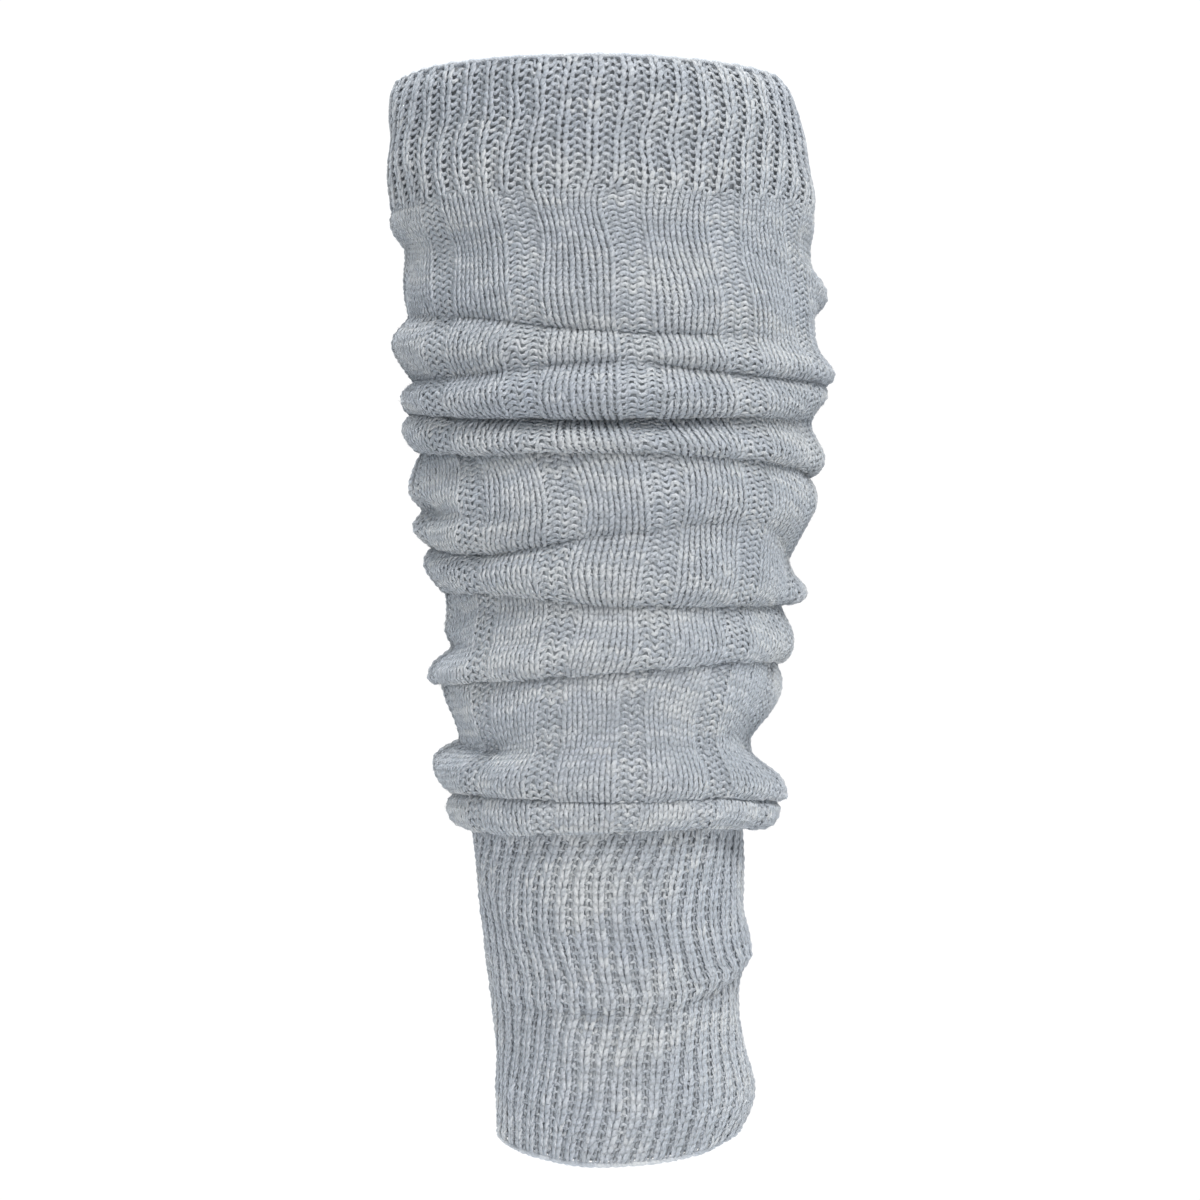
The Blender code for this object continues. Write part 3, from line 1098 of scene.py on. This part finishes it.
class Value:
    """A number that varies over a surface, with the usual operators as Math nodes."""

    def __init__(self, graph: "Graph", socket: bpy.types.NodeSocket) -> None:
        """Keep the graph and the socket that the number comes out of."""
        self.graph = graph
        self.socket = socket

    def _maths(self, operation: str, first: Any, second: Any) -> "Value":
        """One Math node on two numbers or values."""
        node = self.graph.node("ShaderNodeMath", {"operation": operation}, {0: first, 1: second})
        return Value(self.graph, node.outputs[0])

    def __add__(self, other: Any) -> "Value":
        """This plus the other."""
        return self._maths("ADD", self, other)

    __radd__ = __add__

    def __mul__(self, other: Any) -> "Value":
        """This times the other."""
        return self._maths("MULTIPLY", self, other)

    __rmul__ = __mul__

    def __sub__(self, other: Any) -> "Value":
        """This less the other."""
        return self._maths("SUBTRACT", self, other)

    def __rsub__(self, other: Any) -> "Value":
        """The other less this."""
        return self._maths("SUBTRACT", other, self)

    def __truediv__(self, other: Any) -> "Value":
        """This over the other."""
        return self._maths("DIVIDE", self, other)

    def wave(self) -> "Value":
        """One at whole numbers, nought at halves and a cosine between."""
        turned = self * (2 * math.pi)
        return turned._maths("COSINE", turned, 0.0) * 0.5 + 0.5

    def between(self, low: float, high: float) -> "Value":
        """Nought at or below the low number, one at or above the high one, smooth between."""
        settings = {"interpolation_type": "SMOOTHSTEP"}
        inputs = {"Value": self, "From Min": low, "From Max": high}
        return Value(self.graph, self.graph.node("ShaderNodeMapRange", settings, inputs).outputs[0])


class Graph:
    """The nodes of one material."""

    def __init__(self, name: str) -> None:
        """Start a material with a shader and an output."""
        self.material = bpy.data.materials.new(name)
        self.material.use_nodes = True
        self.tree = self.material.node_tree
        self.shader = self.tree.nodes["Principled BSDF"]

    def node(self, kind: str, settings: dict[str, Any], inputs: dict[Any, Any]) -> bpy.types.Node:
        """Add a node.

        Args:
            kind: The node's type.
            settings: Its own settings, which are set first.
            inputs: Numbers, colours, sockets or values for its inputs, by name or number.

        Returns:
            The node.
        """
        node = self.tree.nodes.new(kind)
        for name, setting in settings.items():
            setattr(node, name, setting)
        for name, given in inputs.items():
            self.give(node.inputs[name], given)
        return node

    def give(self, socket: bpy.types.NodeSocket, given: Any) -> None:
        """Link or set one input."""
        if isinstance(given, Value):
            given = given.socket
        if isinstance(given, bpy.types.NodeSocket):
            self.tree.links.new(given, socket)
        else:
            socket.default_value = given

    def stored(self, name: str, output: str) -> bpy.types.NodeSocket:
        """What a mesh stores at its points under a name: a Vector, or a number as its Fac."""
        settings = {"attribute_type": "GEOMETRY", "attribute_name": name}
        return self.node("ShaderNodeAttribute", settings, {}).outputs[output]

    def bake_place(self) -> tuple[Value, Value]:
        """The two shares of the way across the bake's map at a place on the surface."""
        corner = self.node("ShaderNodeUVMap", {"uv_map": BAKE_MAP}, {}).outputs[0]
        parts = self.node("ShaderNodeSeparateXYZ", {}, {0: corner}).outputs
        return Value(self, parts[0]), Value(self, parts[1])

    def noise(
        self, vector: bpy.types.NodeSocket, scale: float, detail: float, rough: float
    ) -> Value:
        """Soft noise of a size, from about 0.3 to 0.7 over most of a surface."""
        inputs = {"Vector": vector, "Scale": scale, "Detail": detail, "Roughness": rough}
        return Value(self, self.node("ShaderNodeTexNoise", {}, inputs).outputs["Fac"])

    def fine_noise(self, scale: float, detail: float) -> Value:
        """Noise as fine as fibres, fixed to the object: its scale is for a metre."""
        place = self.node("ShaderNodeTexCoord", {}, {}).outputs["Object"]
        return self.noise(place, scale, detail, rough=0.6)

    def mix(self, factor: Any, low: Any, high: Any) -> bpy.types.NodeSocket:
        """One colour turning into another as a factor rises from nought to one."""
        inputs = {0: factor, 6: low, 7: high}
        return self.node("ShaderNodeMix", {"data_type": "RGBA"}, inputs).outputs[2]

    def cover(self, colour: Any, height: Value, strength: float, distance: float) -> None:
        """Give the shader its colour, and its relief as a bump.

        Args:
            colour: The socket of a colour.
            height: The relief, from nought to about one.
            strength: How much of the relief shows.
            distance: How high a relief of one is, in metres.
        """
        inputs = {"Strength": strength, "Distance": distance, "Height": height}
        bump = self.node("ShaderNodeBump", {}, inputs)
        self.give(self.shader.inputs["Base Color"], colour)
        self.give(self.shader.inputs["Normal"], bump.outputs[0])

    def finish(self, roughness: float, sheen: float = 0.0, softness: float = 0.0) -> None:
        """Set what is the same all over the surface.

        Args:
            roughness: How matt it is.
            sheen: How much its fuzz shines at the edges.
            softness: The share of light that goes in and comes out near by.
        """
        inputs = {
            "Roughness": roughness,
            "Sheen Weight": sheen,
            "Sheen Roughness": 0.5,
            "Sheen Tint": (0.8, 0.9, 1.0, 1.0),
            "Specular IOR Level": 0.25,
            "Subsurface Weight": softness,
            "Subsurface Radius": (1.0, 1.0, 1.0),
            "Subsurface Scale": 0.0012,
        }
        for name, value in inputs.items():
            self.shader.inputs[name].default_value = value


Colour = tuple[float, float, float, float]


def weighed(values: Sequence[Value], weights: Sequence[float]) -> Value:
    """The sum of some values, each times its weight."""
    first, *others = (value * weight for value, weight in zip(values, weights, strict=True))
    return sum(others, first)


@dataclass(frozen=True)
class Grain:
    """Noise that is drawn out along the yarn: how often it turns, and how fine and rough it is.

    Its scale is for the three parts of a place in the knitting: the circle of the wales, twice,
    and the courses.
    """

    scale: tuple[float, float, float]
    detail: float
    rough: float

    def build(self, graph: Graph, place: bpy.types.NodeSocket) -> Value:
        """The noise at a place in the knitting."""
        inputs = {0: place, 1: self.scale}
        scaled = graph.node("ShaderNodeVectorMath", {"operation": "MULTIPLY"}, inputs).outputs[0]
        return graph.noise(scaled, scale=1.0, detail=self.detail, rough=self.rough)


@dataclass(frozen=True)
class MelangeYarn:
    """Soft yarn spun from pale and darker blue-grey fibres, which show as streaks along it.

    The tint's weights are for clouds, flecks and streaks, and the shade's for streaks, flecks,
    clouds and fibres. A range is where such a sum starts to colour the yarn and where it is full.
    A wave along the plies' twist darkens the colour in the grooves between the plies: painted
    shade.
    """

    name: str = "melange_yarn"
    pale: Colour = (0.585, 0.595, 0.60, 1.0)
    blue: Colour = (0.465, 0.50, 0.57, 1.0)
    dark: Colour = (0.39, 0.41, 0.435, 1.0)
    streaks: Grain = Grain((0.16, 0.16, 0.9), 2.0, 0.6)
    flecks: Grain = Grain((0.45, 0.45, 0.9), 1.0, 0.5)
    clouds: Grain = Grain((0.06, 0.06, 0.10), 2.0, 0.5)
    fibres: float = 1900.0
    tint_weights: tuple[float, ...] = (0.5, 0.3, 0.35)
    tint_range: tuple[float, float] = (0.47, 0.71)
    shade_weights: tuple[float, ...] = (0.5, 0.35, 0.2, 0.4)
    shade_range: tuple[float, float] = (0.56, 0.82)
    ply_groove_painted_shade: float = 0.1
    ply_height: float = 0.7
    relief: float = 0.00025
    roughness: float = 0.92
    sheen: float = 0.5
    softness: float = 0.6

    def build(self) -> bpy.types.Material:
        """Make the material."""
        graph = Graph(self.name)
        place = graph.stored("stitch", "Vector")
        streaks, flecks, clouds = (
            grain.build(graph, place) for grain in (self.streaks, self.flecks, self.clouds)
        )
        fibres = graph.fine_noise(self.fibres, detail=2.0)
        plies = Value(graph, graph.stored("twist", "Fac")).wave()
        blueness = weighed((clouds, flecks, streaks), self.tint_weights).between(*self.tint_range)
        mottle = weighed((streaks, flecks, clouds, fibres), self.shade_weights)
        # Painted shade: the plies' wave darkens the colour in the grooves between the plies.
        shade = (mottle - plies * self.ply_groove_painted_shade).between(*self.shade_range)
        colour = graph.mix(shade, graph.mix(blueness, self.pale, self.blue), self.dark)
        graph.cover(colour, fibres + plies * self.ply_height, strength=0.4, distance=self.relief)
        graph.finish(self.roughness, self.sheen, self.softness)
        return graph.material


@dataclass(frozen=True)
class ShadedGround:
    """Painted shade in the gaps between the stitches, mottled like fuzz, and, on the inside of the
    leg warmer, the backs of the stitches with painted light on them and painted shade between them.

    The fades say how much a bar of a knit wale fades between wales, and how much a ridge of a
    purl wale does between courses. The turns are how soon one pattern changes into the next, at
    the wall's edge and at a rib's.
    """

    name: str
    # The pale and dark colours are painted shade for the gaps between the stitches, darker than the
    # yarn.
    pale: Colour = (0.40, 0.42, 0.44, 1.0)
    dark: Colour = (0.32, 0.33, 0.35, 1.0)
    # The inside colour is painted light on the backs of the stitches.
    inside: Colour = (0.55, 0.57, 0.59, 1.0)
    fuzz: float = 900.0
    fuzz_range: tuple[float, float] = (0.35, 0.65)
    fuzz_on_backs: float = 0.8
    backs_range: tuple[float, float] = (0.25, 1.15)
    backs_height: float = 2.5
    knit_fade: float = 0.6
    purl_fade: float = 0.35
    wall_turn: float = 0.002
    rib_turn: float = 0.03
    relief: float = 0.0002
    roughness: float = 0.95

    def build(self, rib: Rib, courses: int) -> bpy.types.Material:
        """Make the material.

        Args:
            rib: How the length is ribbed.
            courses: How many courses it has.

        Returns:
            The material.
        """
        graph = Graph(self.name)
        fuzz = graph.fine_noise(self.fuzz, detail=3.0)
        # Painted shade: the ground that shows between the stitches is coloured darker than the
        # yarn.
        ground = graph.mix(fuzz.between(*self.fuzz_range), self.pale, self.dark)
        around, down = graph.bake_place()
        is_inside = down.between(0.5 - self.wall_turn, 0.5 + self.wall_turn)
        backs = self.backs(around * WALES, down * (2 * courses), rib)
        # Painted light and shade on the inside: the inside colour on the backs of the stitches, the
        # dark colour between them.
        light = (backs + fuzz * self.fuzz_on_backs).between(*self.backs_range)
        colour = graph.mix(is_inside, ground, graph.mix(light, self.dark, self.inside))
        height = fuzz + backs * is_inside * self.backs_height
        graph.cover(colour, height, strength=0.5, distance=self.relief)
        graph.finish(self.roughness)
        return graph.material

    def backs(self, wale: Value, course: Value, rib: Rib) -> Value:
        """How far the backs of the stitches stand out.

        A purl wale shows a ridge down its back, and a knit wale a short bar in each course. The
        purl wales are where a wave once a repeat, with its top in the middle of them, is high.

        Args:
            wale: Wales round the bake's map, whose first point stands half a wale in.
            course: Courses up it.
            rib: How the length is ribbed.

        Returns:
            From nought to one.
        """
        middle = rib.knit + rib.purl / 2
        border = 0.5 + 0.5 * math.cos(math.pi * rib.purl / rib.repeat)
        high = ((wale + (0.5 - middle)) / rib.repeat).wave()
        is_purl = high.between(border - self.rib_turn, border + self.rib_turn)
        ridge, bar = wale.wave(), course.wave()
        knit = bar * (ridge * self.knit_fade + (1 - self.knit_fade))
        purl = ridge * (bar * self.purl_fade + (1 - self.purl_fade))
        return knit + (purl - knit) * is_purl


@dataclass(frozen=True)
class PaleFloor:
    """Plain white paper."""

    name: str = "pale_floor"
    colour: Colour = (0.86, 0.86, 0.86, 1.0)
    roughness: float = 0.8

    def build(self) -> bpy.types.Material:
        """Make the material."""
        graph = Graph(self.name)
        graph.give(graph.shader.inputs["Base Color"], self.colour)
        graph.finish(self.roughness)
        return graph.material


# ---- The leg warmer ------------------------------------------------------------------------------


class Held(Enum):
    """How a length of the cloth is held on the leg."""

    STRETCHED = "stretched"
    GATHERED = "gathered"


@dataclass
class Length:
    """A length of the leg warmer with its ground, its bands of stitches and how it is held.

    The ground's height is how far its outer side stands out of the middle of the cloth, and the
    steps are the points of yarn to a wale.
    """

    knitting: KnittedLength
    ground: ShadedGround
    ground_rows: int
    ground_height: float
    bands: int
    steps: int
    fibres: int
    held: Held
    edge_course: float | None = None

    def build(self, yarn: bpy.types.Material, random: np.random.Generator) -> None:
        """Args:
            yarn: The finish of the stitches.
            random: The source of the stitches' unevenness.
        """
        knitting = self.knitting
        shell = ClothShell(knitting, self.ground_rows, self.ground_height).build()
        # The shell's finish paints the shade in the gaps between the stitches.
        dress(shell, self.ground.build(knitting.rib, knitting.courses))
        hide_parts(knitting.node)
        stitches = [band.build(random) for band in self.stitch_bands()]
        loose = [Fuzz(knitting, self.fibres).build(random)]
        if self.edge_course is not None:
            loose.append(EdgeYarn(knitting.node + "_edge", knitting, self.edge_course).build())
        for piece in stitches + loose:
            dress(piece, yarn)
        flat = self.flat_size()
        stitches + loose
        LOG.info("%s: cut %.0f x %.0f mm", knitting.node, flat[0] / MM, flat[1] / MM)

    def stitch_bands(self) -> list[StitchBand]:
        """The bands from the top down, which share the courses and are numbered if several."""
        knitting = self.knitting
        per_band = math.ceil(knitting.courses / self.bands)
        bands = []
        for first in range(0, knitting.courses, per_band):
            number = f"_{len(bands) + 1}" if self.bands > 1 else ""
            count = min(per_band, knitting.courses - first)
            name = knitting.node + "_stitches" + number
            bands.append(StitchBand(name, knitting, first, count, self.steps))
        return bands

    def flat_size(self) -> tuple[float, float]:
        """Width all round and length down the cloth, in metres, as it is stretched on the leg."""
        wale = np.linspace(0, WALES, 4 * WALES + 1)
        course = np.linspace(0, self.knitting.courses, 2 * self.knitting.courses + 1)[:, None]
        wale, course = np.broadcast_arrays(wale[None, :], course)
        azimuth, level = self.knitting.place(wale, course)
        points = self.knitting.form.middle(azimuth, level)
        girth = np.linalg.norm(np.diff(points, axis=1), axis=-1).sum(axis=1).mean()
        return float(girth) * MM, self.knitting.map.mean_length * MM


def dress(piece: bpy.types.Object, finish: bpy.types.Material) -> None:
    """Give a piece its finish and the body that it moves with, and report it."""
    piece.data.materials.append(finish)
    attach(piece, "root")
    LOG.info("%s: %d faces", piece.name, len(piece.data.polygons))


@dataclass(frozen=True)
class LegWarmer:
    """The whole leg warmer: calf cuff, slouched body and ankle cuff."""

    form: LegForm = LegForm(SECTIONS, SWAYS, CUFF_JOIN, ROLLS, CREASES)
    calf_rib: Rib = Rib(knit=1, purl=1, start=3.75, knit_width=3.7)
    body_rib: Rib = Rib(knit=6, purl=2, start=4.65, knit_width=3.45)
    ankle_rib: Rib = Rib(knit=1, purl=1, start=3.35, knit_width=4.5)
    calf_loop: Loop = Loop(knit_lean=0.18, purl_lean=0.09, purl_height=0.76, purl_depth=0.22,
                           relief=0.35, knit_radius=0.78, purl_radius=0.6)
    body_loop: Loop = Loop(knit_lean=0.235, knit_height=0.93, knit_depth=0.37, knit_radius=0.68,
                           purl_lean=0.07, purl_height=0.79, purl_depth=0.2, purl_radius=0.7,
                           relief=0.15, squeeze=0.22, unevenness=0.035)
    ankle_loop: Loop = Loop(purl_height=1.0, purl_spread=0.14, purl_depth=0.3, relief=0.26,
                            squeeze=0.1, purl_radius=0.55)
    # The grounds' colours are painted shade between the stitches, and on the inside painted light
    # and shade on the stitches' backs.
    calf_ground: ShadedGround = ShadedGround("calf_ground")
    body_ground: ShadedGround = ShadedGround(
        "body_ground", pale=(0.42, 0.44, 0.46, 1.0), dark=(0.32, 0.335, 0.35, 1.0))
    ankle_ground: ShadedGround = ShadedGround("ankle_ground")
    calf_courses: int = 17
    body_courses: int = 124
    ankle_courses: int = 38
    rim_course: float = -0.2
    hem_drop: float = 0.4

    def build(self) -> None:
        """Make the three lengths, from the top down."""
        yarn = MelangeYarn().build()
        random = np.random.default_rng(SEED)
        calf, body, ankle = self.knitting()
        hem = self.ankle_courses + self.hem_drop
        lengths = (
            Length(calf, self.calf_ground, ground_rows=11, ground_height=-0.4, bands=1, steps=10,
                   fibres=9500, held=Held.STRETCHED, edge_course=self.rim_course),
            Length(body, self.body_ground, ground_rows=117, ground_height=-0.1, bands=4, steps=8,
                   fibres=58000, held=Held.GATHERED),
            Length(ankle, self.ankle_ground, ground_rows=27, ground_height=-0.3, bands=1, steps=8,
                   fibres=14500, held=Held.STRETCHED, edge_course=hem),
        )
        for length in lengths:
            length.build(yarn, random)

    def knitting(self) -> tuple[KnittedLength, KnittedLength, KnittedLength]:
        """The cloth of the calf cuff, the body and the ankle cuff."""
        above_ankle = self.calf_courses + self.body_courses
        return (
            KnittedLength("top_cuff", self.form, self.calf_rib, self.calf_loop, RIM, CUFF_JOIN,
                          courses=self.calf_courses, first_course=0, rib_below=self.body_rib),
            KnittedLength("leg_body", self.form, self.body_rib, self.body_loop, CUFF_JOIN,
                          ANKLE_JOIN, courses=self.body_courses, first_course=self.calf_courses,
                          rib_above=self.calf_rib, rib_below=self.ankle_rib, crowding=0.14),
            KnittedLength("ankle_cuff", self.form, self.ankle_rib, self.ankle_loop, ANKLE_JOIN,
                          HEM, courses=self.ankle_courses, first_course=above_ankle,
                          rib_above=self.body_rib),
        )


# ---- The studio ----------------------------------------------------------------------------------


@dataclass(frozen=True)
class Lamp:
    """A soft square light that faces a point."""

    name: str
    place: tuple[float, float, float]
    aim: tuple[float, float, float]
    size: float
    watts: float

    def build(self) -> None:
        """Hang the light."""
        data = bpy.data.lights.new(self.name, "AREA")
        data.shape = "SQUARE"
        data.size = self.size
        data.energy = self.watts
        lamp = add_object(self.name, data)
        lamp.location = self.place
        way = Vector(self.aim) - Vector(self.place)
        lamp.rotation_euler = way.to_track_quat("-Z", "Y").to_euler()


@dataclass(frozen=True)
class Studio:
    """A white tent with a soft light from the front, over a pale floor."""

    middle: tuple[float, float, float] = (0.0, 0.0, -0.1425)
    distance: float = 1.0
    nearest: float = 0.05
    lens: float = 100.0
    sensor: float = 36.0
    floor_level: float = -0.40
    floor_size: float = 0.8
    tent: float = 0.325
    tent_colour: Colour = (0.87, 0.935, 1.0, 1.0)
    backdrop: float = 1.05
    backdrop_colour: Colour = (1.0, 1.0, 1.0, 1.0)
    lamps: tuple[Lamp, ...] = (
        Lamp("key_light", (0.40, -0.95, 0.95), (0.0, 0.0, -0.16), 0.6, 15.5),
        Lamp("fill_light", (-0.75, -0.95, 0.60), (0.0, 0.0, -0.14), 0.8, 5.0),
        Lamp("top_light", (0.0, 0.3, 0.9), (0.0, 0.0, -0.14), 0.8, 4.0),
        Lamp("side_light", (0.95, 0.10, 0.50), (0.0, 0.0, -0.14), 0.6, 2.8),
        Lamp("back_light", (-0.45, 0.95, 0.85), (0.0, 0.0, -0.14), 0.6, 14.0),
        Lamp("low_light", (0.1, -0.7, -0.30), (0.0, 0.0, -0.28), 0.25, 1.0),
    )

    def build(self) -> None:
        """Set up the camera, the floor, the lights and the white tent."""
        self.build_camera()
        self.build_floor()
        self.build_tent()
        for lamp in self.lamps:
            lamp.build()

    def build_camera(self) -> None:
        """Look level at the middle of the leg warmer from the front."""
        data = bpy.data.cameras.new("camera")
        data.lens = self.lens
        data.sensor_width = self.sensor
        data.clip_start = self.nearest
        camera = add_object("camera", data)
        camera.location = (self.middle[0], self.middle[1] - self.distance, self.middle[2])
        camera.rotation_euler = (math.pi / 2, 0.0, 0.0)
        bpy.context.scene.camera = camera

    def build_floor(self) -> None:
        """Lay the pale floor well under the hem."""
        half = self.floor_size / 2
        corners = np.array([[-half, -half], [half, -half], [half, half], [-half, half]])
        points = np.column_stack([corners, np.full(4, self.floor_level)]) / MM
        floor = mesh_object("floor", points, np.array([[0, 1, 2, 3]]))
        floor.data.materials.append(PaleFloor().build())
        floor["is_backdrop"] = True

    def build_tent(self) -> None:
        """Light the object evenly from all round, before a white backdrop."""
        world = bpy.data.worlds.new("white_tent")
        world.use_nodes = True
        tree = world.node_tree
        light, backdrop = tree.nodes["Background"], tree.nodes.new("ShaderNodeBackground")
        light.inputs["Strength"].default_value = self.tent
        light.inputs["Color"].default_value = self.tent_colour
        backdrop.inputs["Strength"].default_value = self.backdrop
        backdrop.inputs["Color"].default_value = self.backdrop_colour
        ray, blend = tree.nodes.new("ShaderNodeLightPath"), tree.nodes.new("ShaderNodeMixShader")
        sources = (ray.outputs["Is Camera Ray"], light.outputs[0], backdrop.outputs[0])
        for source, given in zip(sources, blend.inputs):
            tree.links.new(source, given)
        tree.links.new(blend.outputs[0], tree.nodes["World Output"].inputs["Surface"])
        scene = bpy.context.scene
        scene.world = world
        scene.view_settings.view_transform = "Standard"


def write_sizes() -> None:
    """Turn the CAD box and the dressed part's box into plain lists."""
    boxes = [[[float(x) for x in corner] for corner in box] for box in (CAD_BOX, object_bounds())]


def main() -> None:
    """Build the leg warmer and the studio."""
    logging.basicConfig(level=logging.INFO, format="%(name)s: %(message)s")
    LegWarmer().build()
    Studio().build()
    write_sizes()


if __name__ == "__main__":
    main()
